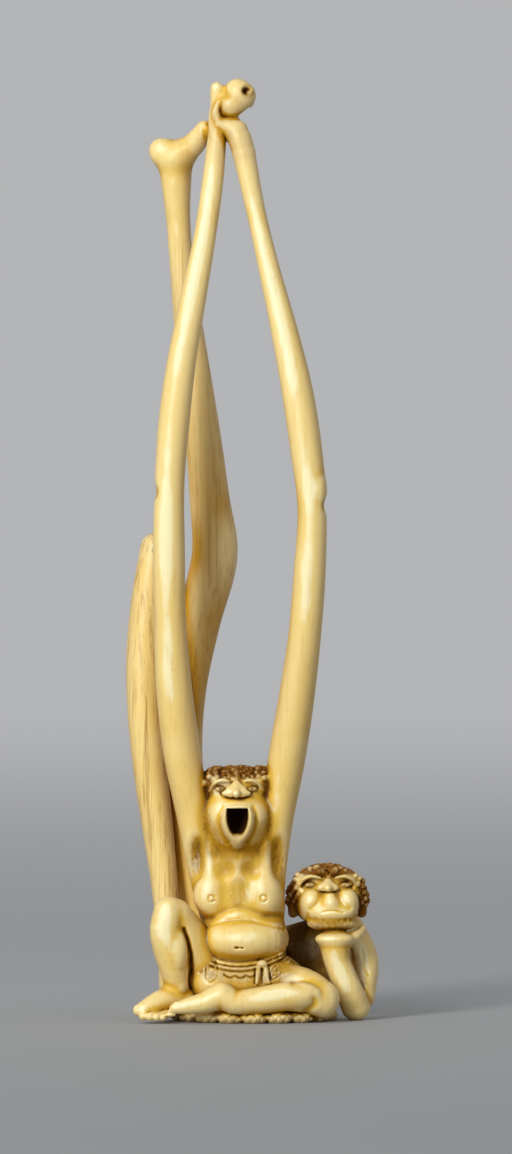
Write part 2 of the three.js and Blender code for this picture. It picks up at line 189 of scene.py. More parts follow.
def bone(start, end, girths, bow=(0, 0), sway=(0, 0)):
    """The stations of one long bone: it bows to one side in an arc, and sways as an S on top of that."""
    made = []
    for step, girth in enumerate(girths):
        share = step / (len(girths) - 1)
        x, y, z = (a + (b - a) * share for a, b in zip(start, end))
        bulge = math.sin(math.pi * share)
        wave = math.sin(2 * math.pi * share)
        made.append([x + bow[0] * bulge + sway[0] * wave, y + bow[1] * bulge + sway[1] * wave, z, girth])
    return made


def balls(middle, aside, y, z, radii, lean=0):
    """Two ellipsoids at the same distance from a middle plane, their tops leaning in by some degrees."""
    return [Ball([middle + side * aside, y, z], radii, turn=(0, -side * lean, 0)) for side in (-1, 1)]


def limbs(middle, stations):
    """Two limbs, one on each side of a middle plane, whose stations start with the distance from it."""
    return [Limb([[middle + side * aside, *rest] for aside, *rest in stations]) for side in (-1, 1)]


# ---------------------------------------------------------------- the field
class Field:
    """Distances to the carving's surface, negative inside, on a grid."""

    def __init__(self, x, y, z):
        self.axes = [axis.astype(np.float32) for axis in (x, y, z)]
        self.values = np.full([len(axis) for axis in self.axes], FAR, np.float32)
        # the marks: stain with painted shade in some recesses, grain, honey tone, and ink with painted shade
        # in the deepest holes
        self.marks = {"stain_and_shade": [], "grain": [], "honey": [], "ink_and_shade": []}

    def part(self, low, high):
        """An empty field between two corners of this one's grid, to sculpt a form by itself."""
        window = clip_window(self.axes, low, high)
        made = Field(*(axis[span] for axis, span in zip(self.axes, window)))
        made.marks = self.marks
        made.window = window
        return made

    def join(self, part, blend):
        """Joins a form that was sculpted by itself, with a fillet about as wide as blend."""
        self.values[part.window] = soft_min(self.values[part.window], part.values, blend)

    def near(self, low, high):
        """The window between two corners, and the coordinates of its points."""
        window = clip_window(self.axes, low, high)
        x, y, z = (axis[part] for axis, part in zip(self.axes, window))
        return window, (x[:, None, None], y[None, :, None], z[None, None, :])

    def add(self, *shapes, blend=0.3):
        """Joins shapes to the carving, with a fillet about as wide as blend."""
        for shape in shapes:
            reach = MARGIN + blend
            window, points = self.near(shape.low - reach, shape.high + reach)
            self.values[window] = soft_min(self.values[window], shape.distance(*points), blend)

    def cut(self, *shapes, blend=0.15):
        """Cuts shapes out of the carving, with its edges rounded by about blend."""
        for shape in shapes:
            reach = MARGIN + blend
            window, points = self.near(shape.low - reach, shape.high + reach)
            self.values[window] = -soft_min(-self.values[window], shape.distance(*points), blend)

    def engrave(self, lines, width, depth, **limits):
        """Engraves fine lines on the front of the carving. back and front limit how far back they reach."""
        strokes = Strokes(lines, width, **limits)
        window, points = self.near(strokes.low, strokes.high)
        self.values[window] += depth * strokes.strength(*points)

    def mark(self, name, strength, soft, *shapes):
        """Marks the places inside some shapes for the material to read, fading out over about soft."""
        self.marks[name] += [(shape, strength, soft) for shape in shapes]

    def marked(self, name, points):
        """How strongly each point is marked, from 0 to 1."""
        found = np.zeros(len(points), np.float32)
        for shape, strength, soft in self.marks[name]:
            share = np.clip(0.5 - shape.distance(*points.T) / soft, 0, 1)
            found = np.maximum(found, strength * share * share * (3 - 2 * share))
        return found

    def front(self, x, z):
        """How far back the first surface is that a look along +Y meets at x, z."""
        column = self.values[self.index(0, x), :, self.index(2, z)]
        inside = np.nonzero(column < 0)[0]
        if not len(inside):
            return float(self.axes[1][-1])
        first = max(inside[0], 1)
        share = column[first - 1] / (column[first - 1] - column[first])
        return float(self.axes[1][first - 1] + share * (self.axes[1][first] - self.axes[1][first - 1]))

    def index(self, axis, value):
        """The step of the grid that is nearest to a coordinate."""
        return int(np.argmin(np.abs(self.axes[axis] - value)))

    def on(self, x, z, proud=0.0):
        """The point of the front surface at x, z, or one that stands proud of it."""
        return [x, self.front(x, z) - proud, z]

    def sample(self, points, values=None):
        """The field, or other values on its grid, at any points."""
        values = self.values if values is None else values
        corner, share = [], []
        for axis, along in zip(self.axes, points.T):
            index = np.clip(np.searchsorted(axis, along) - 1, 0, len(axis) - 2)
            corner.append(index)
            share.append(np.clip((along - axis[index]) / (axis[index + 1] - axis[index]), 0, 1))
        total = np.zeros(len(points), np.float32)
        for step in np.ndindex(2, 2, 2):
            weight = np.ones(len(points), np.float32)
            for part, up in zip(share, step):
                weight *= part if up else 1 - part
            total += weight * values[tuple(index + up for index, up in zip(corner, step))]
        return total

    def slope(self, points, reach=0.1):
        """The direction in which the field rises at each point."""
        found = np.empty_like(points)
        for axis in range(3):
            step = np.zeros(3, np.float32)
            step[axis] = reach
            found[:, axis] = (self.sample(points + step) - self.sample(points - step)) / (2 * reach)
        return found

    def surface(self):
        """The zero surface, as four-sided faces with one point for each cell that it passes through."""
        values = self.values
        shape = np.array(values.shape)
        strides = np.array([shape[1] * shape[2], shape[2], 1])
        cells, places = [], []
        for axis in range(3):
            low = [slice(None)] * 3
            high = [slice(None)] * 3
            low[axis] = slice(None, -1)
            high[axis] = slice(1, None)
            before, after = values[tuple(low)], values[tuple(high)]
            at = np.array(np.nonzero((before < 0) != (after < 0)))
            start = before[tuple(at)]
            share = start / (start - after[tuple(at)])
            place = np.stack([self.axes[i][at[i]] for i in range(3)], axis=1)
            place[:, axis] += share * (self.axes[axis][at[axis] + 1] - self.axes[axis][at[axis]])
            side, other = (axis + 1) % 3, (axis + 2) % 3
            home = (at * strides[:, None]).sum(axis=0)
            corners = np.stack([
                home - strides[side] - strides[other], home - strides[other], home, home - strides[side],
            ], axis=1)
            corners[start > 0] = corners[start > 0][:, ::-1]
            cells.append(corners)
            places.append(place)
        cells = np.concatenate(cells)
        places = np.concatenate(places)
        names, faces = np.unique(cells, return_inverse=True)
        faces = faces.reshape(cells.shape)
        count = np.bincount(faces.ravel(), minlength=len(names))
        points = np.stack([
            np.bincount(faces.ravel(), weights=np.repeat(places[:, axis], 4), minlength=len(names)) / count
            for axis in range(3)
        ], axis=1).astype(np.float32)
        for _ in range(PULLS):
            slope = self.slope(points)
            steep = np.maximum((slope ** 2).sum(axis=1), LEAST_STEEP)
            step = np.clip(self.sample(points) / steep, -LONGEST_PULL, LONGEST_PULL)
            points -= slope * step[:, None]
        return points, faces


def soft_min(a, b, blend):
    """The smaller of two distances, with a fillet about as wide as blend where they are alike."""
    if blend <= 0:
        return np.minimum(a, b)
    near = np.maximum(blend - np.abs(a - b), 0) / blend
    return np.minimum(a, b) - near * near * blend / 4


def spread(*stretches):
    """Coordinates along an axis, from (start, end, spacing) stretches."""
    parts = [np.arange(start, end, step) for start, end, step in stretches]
    return np.concatenate(parts)


# ---------------------------------------------------------------- engraved patterns
class Strokes:
    """Fine lines on the front of the carving: each is a list of [x, z] points, drawn with a width."""

    def __init__(self, lines, width, back=2.0, front=-14.0):
        self.segments = [pair for line in lines for pair in zip(line, line[1:])]
        self.width = width
        ends = np.array([point for line in lines for point in line], float)
        reach = 3 * width
        self.low = np.array([ends[:, 0].min() - reach, front, ends[:, 1].min() - reach])
        self.high = np.array([ends[:, 0].max() + reach, back, ends[:, 1].max() + reach])

    def strength(self, x, y, z):
        """How deep the lines are at each point, as a share of their full depth."""
        nearest = np.full(np.broadcast_shapes(x.shape, z.shape), FAR, np.float32)
        for (ax, az), (bx, bz) in self.segments:
            dx, dz = bx - ax, bz - az
            t = np.clip(((x - ax) * dx + (z - az) * dz) / (dx * dx + dz * dz + 1e-9), 0, 1)
            nearest = np.minimum(nearest, np.hypot(x - ax - t * dx, z - az - t * dz))
        return np.exp(-((nearest / self.width) ** 2)) * ((y > self.low[1]) & (y < self.high[1]))


def arc(centre, radii, start, end, steps=12):
    """The [x, z] points of part of an ellipse, with angles in degrees from +X towards +Z."""
    angles = np.radians(np.linspace(start, end, steps))
    return [[centre[0] + radii[0] * math.cos(a), centre[1] + radii[1] * math.sin(a)] for a in angles]


# ---------------------------------------------------------------- the long limbs
RIGHT_ELBOW = [-10.9, -7.2, ELBOW_Z + 1.5]
LEFT_ELBOW = [8.2, -7.2, ELBOW_Z - 1.5]
RAISED_KNEE = [-4.9, 5.5, KNEE_Z]
HIPS = [-4.2, 6.6, HIP_Z]


def sculpt_arms(field):
    field.mark("honey", 0.4, 6.0, Ball([4.5, -5, 48], [3, 6, 13]))
    field.mark("honey", 0.25, 5.0, Ball([-8.5, -5, 38], [2.5, 6, 10]))
    right = bone([-5.6, -2.4, SHOULDER_Z], RIGHT_ELBOW, [2.4, 2.3, 2.5, 2.4, 2.15, 2.15, 2.0],
                 bow=(-2.1, -0.3), sway=(-0.1, 0.35))
    right += bone(RIGHT_ELBOW, [-4.3, 0.2, WRIST_Z + 2.5], [2.0, 2.1, 1.95, 1.75, 1.5, 1.42, 1.15],
                  bow=(-0.2, -1.2), sway=(-0.5, -0.1))[1:]
    left = bone([2.2, -2.4, SHOULDER_Z], LEFT_ELBOW, [2.3, 2.2, 2.5, 2.4, 2.2, 2.15, 1.95],
                bow=(0.95, -0.3), sway=(-0.25, 0.4))
    left += bone(LEFT_ELBOW, [-0.95, -1.5, WRIST_Z - 2.4], [1.95, 2.15, 2.1, 1.8, 1.45, 1.3, 1.55],
                 bow=(0.85, -0.55), sway=(0.35, -0.25))[1:]
    field.add(Limb(right), Limb(left), blend=0.8)
    # a soft notch on the outside of each elbow
    field.add(Ball([9.1, -7.2, 71.5], [0.8, 1.5, 1.7]), blend=1.0)
    field.cut(Ball([-13.95, -7.6, 71.2], [1.15, 3.0, 1.0]), blend=1.0)
    field.cut(Ball([11.05, -7.2, 69.4], [1.15, 3.0, 1.0]), blend=0.9)


def sculpt_long_legs(field):
    field.mark("honey", 0.7, 4.0, Ball([-8, 4, 66], [6, 6, 36]))
    field.mark("honey", 0.4, 2.0, Ball([-7, 2.5, 116], [4.5, 4, 3]))
    field.mark("grain", 0.85, 2.0, Ball([-13, 3, 32], [6, 8, 40]))
    field.mark("grain", 0.55, 2.0, Ball([-8, 4, 72], [7, 7, 34]))
    raised = bone(HIPS, RAISED_KNEE, [4.4, 3.3, 2.8, 2.6, 2.65, 2.95, 3.1], bow=(-4.6, 1.5), sway=(0, 0.4))
    raised += bone(RAISED_KNEE, [-10.2, 3.9, 0.91 * HEIGHT], [3.1, 2.7, 2.45, 2.2, 1.95, 1.65, 1.65, 2.3],
                   bow=(-0.3, 0.1), sway=(0.3, 0))[1:]
    thigh = bone([-5.2, 4.8, HIP_Z], [-12.3, 3.6, KNEE_Z - 1.0], [3.8, 2.9, 2.6, 2.5, 2.4, 2.2],
                 bow=(-1.5, -0.3), sway=(-0.6, -0.2))
    shin = bone([-12.9, 3.2, KNEE_Z + 1.2], [-10.6, -1.6, 3.4],
                [2.0, 2.35, 2.5, 2.4, 2.3, 2.1, 1.8, 1.6, 1.7], bow=(-1.75, 0), sway=(-0.75, -0.3))
    foot = [
        [-12.0, 4.4, 116.9, 1.75], [-10.2, 3.7, 116.4, 1.7], [-7.9, 2.7, 117.6, 1.6], [-6.2, 1.6, 119.8, 1.2],
    ]
    field.add(Limb(raised), Limb(thigh), Limb(shin), blend=0.5)
    field.add(Limb(foot), blend=1.6)
    field.add(Limb([[-9.8, -0.4, 2.2, 1.6], [-11.4, -3.2, 1.7, 1.3]]), blend=0.8)


def sculpt_hands(field):
    """The right fist above, gripped round the wrist by the left hand."""
    field.mark("honey", 0.8, 2.5, Ball([-2.2, -0.5, 119.8], [4.5, 5, 5.6]))
    # the hand of the right arm: its edge stands up on the left, and the fist rolls forward beside it
    field.add(Limb([[-4.4, 0.2, 119.6, 1.2], [-4.5, 0.0, 123.0, 0.98], [-4.5, -0.1, 125.25, 0.93]]),
              blend=0.8)
    fist = field.part([-8, -6, 117], [4, 5, 128])
    fist.add(Limb([[-2.7, -0.3, 123.0, 1.72], [-1.05, -0.4, 124.3, 1.75]]), blend=0.3)
    fist.add(Ball([-1.75, -0.3, 124.75], [1.85, 1.8, 1.85]), blend=0.4)
    for finger in range(4):
        turn = math.radians(75 - 34 * finger)
        centre = [-1.5 + 1.35 * math.cos(turn), 1.1, 124.1 + 1.5 * math.sin(turn)]
        fist.add(Ball(centre, [0.75, 1.3, 0.75]), blend=0.3)
    fist.cut(Ball([-0.5, -2.6, 124.95], [0.75, 1.5, 0.68]), blend=0.3)
    fist.add(Limb([[0.1, -1.0, 125.2, 0.34], [0.05, -1.5, 124.8, 0.34], [-0.35, -1.55, 124.65, 0.26]]),
             blend=0.12)
    # painted shade deep in the hole of the fist
    fist.mark("ink_and_shade", 0.5, 0.5, Ball([-0.8, -1.7, 124.95], [0.4, 1.0, 0.4]))
    fist.mark("stain_and_shade", 0.8, 0.5, Ball([-0.4, -2.0, 124.95], [1.0, 1.4, 1.0]))
    field.join(fist, 0.3)
    field.add(Ball([-3.75, 0.1, 123.6], [0.9, 1.35, 2.0]), blend=0.5)
    field.add(Ball([-2.7, -0.3, 121.1], [1.3, 1.2, 0.6]), blend=0.2)
    field.cut(Ball([-3.8, -0.4, 126.25], [0.3, 2.0, 0.5]), blend=0.25)
    # the hand of the left arm wraps round below, its thumb hooked up
    field.add(Limb([
        [-0.95, -1.5, 116.6, 1.5], [-1.55, -1.35, 118.6, 1.6], [-2.5, -1.1, 119.85, 1.35],
        [-4.0, -0.8, 120.5, 0.95],
    ]), blend=0.25)
    field.add(Ball([-1.75, -1.1, 120.0], [1.25, 1.4, 0.98]), blend=0.4)
    field.add(Limb([
        [-4.4, -0.9, 121.1, 0.62], [-4.72, -1.0, 122.0, 0.52], [-4.6, -1.05, 122.7, 0.42],
        [-4.35, -1.05, 123.5, 0.22],
    ]), blend=0.12)
    field.engrave([
        [[-3.95, 123.4], [-4.02, 122.4], [-3.95, 121.6], [-3.4, 121.38], [-2.4, 121.35], [-1.0, 121.15]],
    ], 0.11, 0.13, back=0.5)
    field.mark("stain_and_shade", 0.4, 1.2, Ball([-2.9, -2, 117.2], [0.5, 2, 2.2]))
    field.mark("stain_and_shade", 0.4, 1.0, Ball([-3.9, -2, 121.9], [0.5, 2, 1.4]))
    for finger in range(4):
        along = finger * 0.75
        field.add(Limb([
            [-1.0 - 0.3 * finger, 0.4, 117.4 + along, 0.55],
            [-2.6, 1.5, 118.4 + along, 0.5],
            [-4.6, 1.6, 118.6 + along, 0.45],
        ]), blend=0.2)
    # toes of the raised foot beside the wrist
    field.engrave([[[-6.6, 120.2], [-6.1, 118.6]], [[-5.9, 120.6], [-5.5, 118.4]]], 0.16, 0.1, back=4.0)


# ---------------------------------------------------------------- the sitter
FACE = -1.8  # the middle of the sitter's face, left to right
CHEST = -1.75


def sculpt_sitter_body(field):
    field.add(
        Ball([-1.0, -2.2, 5.4], [8.4, 6.6, 4.6]),
        Ball([-1.2, -2.8, 15.2], [5.8, 3.9, 8.6]),
        Limb([[-1.7, -2.0, 20, 4.0], [-1.8, -2.6, 26, 3.6]]),
        Ball([FACE, -1.9, 20.6], [6.0, 3.1, 5.0]),
        blend=1.2,
    )
    field.add(Limb([[-3.9, -5.4, 14.0, 0.8], [CHEST, -6.0, 14.2, 0.9], [0.6, -5.6, 14.1, 0.8]]), blend=1.0)
    field.add(*balls(-0.8, 2.9, -3.6, 11.2, [2.9, 4.1, 2.9]), blend=0.8)
    field.add(Ball([-0.8, -4.3, 11.0], [5.6, 5.0, 3.25]), blend=0.8)
    field.add(*balls(CHEST, 3.6, -4.5, 16.9, [2.4, 2.4, 2.8]), blend=0.9)
    field.add(*limbs(CHEST, [
        [3.6, -5.0, 18.4, 1.3],
        [4.0, -4.5, 21.4, 0.95],
        [4.2, -4.1, 24.6, 0.9],
    ]), blend=1.3)
    field.cut(*balls(CHEST, 1.7, -6.6, 20.5, [1.0, 1.0, 0.9]), blend=1.0)
    # painted shade in the hollows at the base of the neck
    field.mark("stain_and_shade", 0.42, 2.0, Ball([CHEST, -6, 21.3], [3.4, 3, 1.3]))
    field.engrave([
        [[-7.3, 13.5], [-6.3, 13.6], [-4.9, 14.1], [-3.3, 15.0], [CHEST, 15.4], [0.0, 15.05], [1.9, 14.4],
         [4.6, 14.1]],
    ], 0.42, 0.26, back=-2.5)
    field.engrave([
        [[-6.8, 12.2], [-5.3, 13.0], [-3.4, 13.6], [CHEST, 13.8], [0.2, 13.6], [2.2, 13.1], [4.4, 12.4]],
    ], 0.22, 0.1, back=-2.5)
    field.engrave([arc([CHEST + side * 3.5, 16.6], [0.46, 0.46], 20, 340, 14) for side in (-1, 1)], 0.12, 0.2,
                  back=-2.0)
    # the furrow of the spine and the edges of the shoulder blades
    spine = [[CHEST + 0.15, 24.0], [CHEST, 20.0], [CHEST + 0.1, 16.0], [CHEST + 0.4, 12.0]]
    field.engrave([spine], 0.9, 0.2, back=3.4, front=-0.5)
    field.engrave([
        [[CHEST + side * 1.4, 22.2], [CHEST + side * 1.9, 20.2], [CHEST + side * 3.4, 18.9]]
        for side in (-1, 1)
    ], 0.7, 0.14, back=3.4, front=-0.5)
    navel = field.on(-1.6, 10.1)
    field.cut(Ball([navel[0] - 0.3, *navel[1:]], [0.42, 0.45, 0.2]), blend=0.08)
    field.cut(Ball([navel[0] + 0.4, *navel[1:]], [0.3, 0.35, 0.12]), blend=0.08)


def sculpt_sitter_chest(field):
    """The armpits, and the strokes of hair on the chest and the side."""
    armpits = balls(CHEST, 5.5, -5.6, 22.2, [0.9, 1.75, 2.3], lean=6)
    field.cut(*armpits, blend=1.3)
    # stain on the hair of the armpits, and painted shade in their hollows
    field.mark("stain_and_shade", 0.7, 1.8, *balls(CHEST, 5.6, -5.0, 22.1, [1.2, 2.4, 2.8], lean=6))
    random = np.random.default_rng(11)
    hairs = []
    for _ in range(30):
        x, z = random.uniform(-1.1, 1.1), random.uniform(0, 3.8)
        lean = 0.35 * np.sign(x) + random.uniform(-0.2, 0.2)
        hairs.append([
            [CHEST + x, 15.9 + z], [CHEST + x + 0.4 * lean, 15.6 + z], [CHEST + x + lean, 15.4 + z],
        ])
    for _ in range(20):
        x, z = random.uniform(3.4, 4.6), random.uniform(9.8, 13.2)
        hairs.append([[x, z], [x + 0.12, z - random.uniform(0.3, 0.5)]])
    for side in (-1, 1):
        for _ in range(18):
            x, z = CHEST + side * 5.5 + random.uniform(-0.7, 0.7), random.uniform(20.2, 24.3)
            hairs.append([[x, z], [x - 0.15 * side, z - random.uniform(0.5, 1.0)]])
    field.engrave(hairs, 0.08, 0.06, back=-2.0)
    field.mark("stain_and_shade", 0.42, 1.2, Ball([CHEST, -7, 17.6], [1.3, 2, 2.2]))
    field.mark("stain_and_shade", 0.5, 1.6, Ball([4.6, -5, 12.4], [1.2, 3, 2.6]))


def sculpt_sitter_head(field):
    """A head tipped right back: the jaw and the cheeks in front, the nose and the eyes over their edge."""
    head = field.part([FACE - 6, -12, 20.5], [FACE + 6, 5, 36.5])
    head.add(
        Ball([FACE, -2.2, 29.6], [4.5, 4.3, 4.55]),
        Ball([FACE + 0.05, -3.1, 26.5], [4.85, 4.4, 4.5]),
        blend=0.9,
    )
    head.add(*balls(FACE, 3.0, -2.4, 31.9, [1.6, 3.0, 2.1]), blend=0.6)
    head.add(Ball([FACE, -4.5, 27.7], [4.35, 3.3, 3.0]), blend=1.0)
    head.add(Ball([FACE, -6.0, 26.9], [2.5, 2.3, 2.9]), blend=0.8)
    head.add(Ball([FACE + 0.05, -6.3, 24.25], [0.75, 1.3, 0.9]), blend=0.8)
    rim = [
        [-1.45, -8.1, 28.7], [0, -8.3, 28.85], [1.45, -8.1, 28.7], [1.7, -7.9, 27.2], [1.2, -7.6, 25.5],
        [0, -7.4, 24.45], [-1.2, -7.6, 25.5], [-1.7, -7.9, 27.2], [-1.45, -8.1, 28.7],
    ]
    head.add(Limb([[FACE + x, y, z, 0.38] for x, y, z in rim]), blend=0.45)

    # the nose is seen from below
    nose = FACE - 0.15
    head.add(*[
        Limb([[nose, -6.1, 31.95, 0.3], [nose + aside, -6.9, 30.85, thick]])
        for aside, thick in ((-1.6, 0.5), (-0.8, 0.7), (0.8, 0.7), (1.6, 0.5))
    ], blend=0.35)
    head.add(Limb([[nose, -6.1, 31.95, 0.3], [nose, -7.9, 30.75, 0.55]]), blend=0.5)
    head.cut(*balls(nose, 0.8, -7.95, 30.55, [0.4, 0.4, 0.2]), blend=0.15)
    head.engrave([
        [[nose - 2.15, 30.7], [nose - 1.8, 30.3], [nose - 0.8, 30.05], [nose, 30.0], [nose + 0.8, 30.05],
         [nose + 1.8, 30.3], [nose + 2.15, 30.7]],
    ], 0.13, 0.2, back=-5.0)
    # eyes under arched brows, half hidden by the cheeks
    head.cut(*balls(nose, 2.45, -6.9, 31.35, [0.9, 1.1, 0.55]), blend=0.35)
    head.add(*balls(nose, 2.2, -5.75, 31.3, [0.58, 0.66, 0.3]), blend=0.04)
    head.cut(*balls(nose, 2.15, -6.4, 31.45, [0.2, 0.35, 0.2]), blend=0.05)
    head.engrave([arc([nose + side * 2.2, 31.3], [0.75, 0.4], 0, 180, 12) for side in (-1, 1)], 0.1, 0.14,
                 back=-3.0)
    head.mark("stain_and_shade", 0.4, 1.0, *balls(nose, 2.4, -6.2, 31.4, [1.2, 1.5, 0.7]))
    head.mark("ink_and_shade", 0.85, 0.3, *balls(nose, 2.1, -6.3, 31.35, [0.2, 0.6, 0.2]))
    head.add(*limbs(nose, [
        [1.0, -6.1, 32.35, 0.15], [2.0, -6.1, 32.5, 0.24],
        [3.0, -5.6, 32.0, 0.24], [3.6, -5.0, 31.0, 0.18],
    ]), blend=0.25)
    # folds of the cheeks and strokes of beard that fan out from the mouth
    head.engrave([
        [[FACE + side * x, z] for x, z in ((2.1, 28.9), (2.5, 28.0), (2.55, 26.8), (2.1, 25.4), (1.4, 24.2))]
        for side in (-1, 1)
    ], 0.3, 0.16, back=-4.0)
    random = np.random.default_rng(5)
    beard = []
    for angle in np.linspace(170, 370, 70):
        start = random.uniform(0.74, 0.86)
        ends = (start, start + random.uniform(0.08, 0.16))
        turns = [(t, math.radians(angle + random.uniform(-3, 3))) for t in ends]
        beard.append([
            [FACE + 4.7 * t * math.cos(turn), 26.6 + 4.6 * t * math.sin(turn)] for t, turn in turns
        ])
    for side in (-1, 1):
        for wide in np.linspace(2.3, 4.3, 9):
            top, low = random.uniform(-5, 15), random.uniform(-78, -40)
            beard.append([
                [FACE + side * wide * math.cos(t), 27.0 + (wide + 0.9) * math.sin(t)]
                for t in np.radians(np.linspace(top, low, 9))
            ])
    head.engrave(beard, 0.1, 0.08, back=-2.5)
    head.mark("stain_and_shade", 0.7, 2.2, Ball([FACE, -4.5, 22.9], [4.6, 5, 1.6]))
    head.mark("stain_and_shade", 0.42, 2.0, Ball([FACE, -4.0, 25.0], [5.0, 5, 3.4]))
    head.mark("honey", 0.5, 2.4, Ball([FACE, -4.0, 25.6], [5.2, 5, 3.8]))
    head.mark("stain_and_shade", 0.7, 1.6, *balls(FACE, 4.1, -4.5, 26.0, [0.6, 4, 3.2]))
    head.add(*balls(FACE, 4.45, -2.6, 28.6, [0.5, 1.1, 1.4]), blend=0.3)
    for side in (-1, 1):
        for x, z in ((3.6, 24.2), (3.0, 23.5)):
            place = head.on(FACE + side * x, z)
            head.add(Ball(place, [0.4, 0.2, 0.4]), blend=0.1)
            head.cut(Ball([place[0], place[1] - 0.2, place[2]], [0.17, 0.2, 0.17]), blend=0.05)
    # the bare forelock between two banks of hair
    head.add(Limb([[nose, -5.5, 32.6, 0.3], [nose, -5.0, 33.3, 0.5], [nose, -3.9, 33.9, 0.4]]), blend=0.5)
    sculpt_sitter_hair(head)
    field.join(head, 0.55)
    field.cut(Ball([FACE, -8.2, 27.85], [1.5, 4.4, 2.95], top=28.8), blend=0.22)
    # painted shade deep in the open mouth
    field.mark("ink_and_shade", 0.97, 0.8, Ball([FACE, -4.9, 27.5], [1.9, 2.7, 3.4]))
    field.add(Ball([FACE, -6.0, 24.95], [1.0, 1.6, 0.45]), blend=0.3)


def curls(field, centre, radii, allowed, count, size):
    """Snail curls all over the allowed part of a skull, each a flattened bead with a pit."""
    golden = math.pi * (3 - math.sqrt(5))
    random = np.random.default_rng(count)
    for index in range(count):
        up = 1 - 2 * (index + 0.5) / count
        ring = math.sqrt(1 - up * up)
        direction = np.array([ring * math.cos(golden * index), ring * math.sin(golden * index), up])
        if not allowed(direction):
            continue
        point = np.array(centre) + direction * radii
        for _ in range(5):
            away = field.sample(point[None])[0]
            point = point - direction * np.clip(away, -0.8, 0.8)
        girth = size * random.uniform(0.8, 1.25)
        field.add(Ball(point, [girth] * 3), blend=0.05)
        field.cut(Ball(point + direction * girth, [girth * 0.35] * 3), blend=0.05)


def sculpt_sitter_hair(field):
    centre = np.array([FACE, -2.0, 29.6])
    radii = np.array([4.45, 4.4, 4.6])
    field.mark("stain_and_shade", 1.4, 1.4, Ball([FACE, -1.6, 33.6], [5.4, 5.2, 1.6]))
    field.mark("stain_and_shade", 1.1, 1.0, *balls(FACE, 3.8, -2, 31.6, [1.0, 4.6, 2.0]))
    field.mark("stain_and_shade", 1.4, 1.2, Ball([FACE, 2.0, 30.4], [4.9, 4.0, 4.4]))

    def allowed(d):
        hairline = 0.62 - 0.6 * max(abs(d[0]) - 0.45, 0) - 1.3 * max(d[1] + 0.1, 0)
        forelock = abs(d[0]) < 0.08 and d[1] < 0.1
        return d[2] > hairline and not forelock

    curls(field, centre, radii, allowed, 560, 0.38)


def sculpt_sitter_legs(field):
    # both thighs, then the shin, knee and calf of the raised leg
    legs = field.part([-17.8, -13.2, -0.6], [14.5, 3.5, 19.5])
    legs.add(
        Limb([[-5.8, -2.6, 6.0, 3.4], [-8.0, -4.9, 10.6, 2.8], [-10.1, -6.9, 14.4, 2.2]]),
        Limb([[2.0, -3.5, 5.0, 3.2], [6.8, -5.4, 4.4, 2.9], [9.5, -6.8, 3.2, 2.4]]),
        blend=0.8,
    )
    legs.add(Limb([
        [-11.0, -7.5, 14.9, 2.05], [-11.4, -7.9, 12.6, 2.15], [-10.9, -7.4, 10.2, 2.3],
        [-10.3, -6.9, 7.4, 2.0],
        [-9.95, -6.4, 5.2, 1.65],
    ]), blend=0.35)
    legs.add(Ball([-11.15, -8.6, 14.2], [1.35, 1.3, 2.0]), blend=0.7)
    legs.add(Ball([-9.7, -8.3, 10.0], [1.2, 1.3, 2.5]), blend=0.7)
    legs.engrave([
        [[-8.95, 12.6], [-8.4, 11.0], [-8.05, 9.2], [-7.95, 7.2], [-8.1, 5.6], [-8.0, 4.6]],
    ], 0.24, 0.6, back=-3.0)
    # its foot
    legs.add(Limb([
        [-9.3, -5.6, 2.9, 1.9], [-11.3, -6.9, 3.0, 1.7], [-13.0, -8.0, 2.4, 1.45], [-14.3, -8.8, 1.8, 1.15],
    ]), blend=0.7)
    legs.add(*[Ball(place, [0.55, 0.8, 0.7]) for place in ([-9.3, -6.9, 4.8], [-11.1, -6.0, 4.7])], blend=0.8)
    for x, y, z, size in (
        (-15.0, -8.9, 1.75, 0.8), (-14.4, -9.7, 1.05, 0.62), (-13.5, -10.1, 0.95, 0.58),
        (-12.6, -10.2, 0.9, 0.52),
        (-11.8, -10.1, 0.85, 0.46),
    ):
        legs.add(Limb([[x + 1.3, y + 1.5, z + 0.5, size * 0.85], [x, y, z, size]]), blend=0.18)
        nail = [x - 0.45 * size, y - 0.75 * size, z + 0.55 * size]
        legs.cut(Ball(nail, [0.4 * size, 0.3 * size, 0.2 * size], turn=(0, -30, 0)), blend=0.05)
    # the folded leg lies along the front, its toes against the raised foot
    legs.add(Limb([
        [9.6, -7.4, 2.7, 2.0], [7.4, -8.4, 3.4, 2.05], [4.8, -9.2, 3.6, 1.95], [1.0, -9.8, 3.1, 1.8],
        [-2.3, -10.1, 2.9, 1.6], [-3.9, -9.9, 3.7, 1.85], [-6.0, -10.0, 2.9, 1.45], [-8.4, -10.2, 2.4, 1.1],
        [-10.2, -10.4, 2.1, 0.7],
    ]), blend=0.5)
    legs.add(Ball([6.4, -9.6, 4.0], [2.6, 1.4, 1.3]), blend=0.8)
    legs.cut(Ball([-10.3, -9.8, 3.6], [0.75, 1.4, 0.6]), blend=0.25)
    for index in range(4):
        place = [-9.7 - 0.35 * index, -10.7 + 0.1 * index, 2.75 - 0.5 * index]
        legs.add(Ball(place, [0.75, 0.42, 0.3]), blend=0.12)
    legs.engrave([[[5.6, 5.3], [8.3, 4.3], [8.6, 2.6], [7.4, 1.7]]], 0.5, 0.22, back=-6.0)
    field.join(legs, 0.3)


def waist(x):
    """How high the waistband runs across the front."""
    return 7.9 + 0.045 * (x + 1.6) ** 2


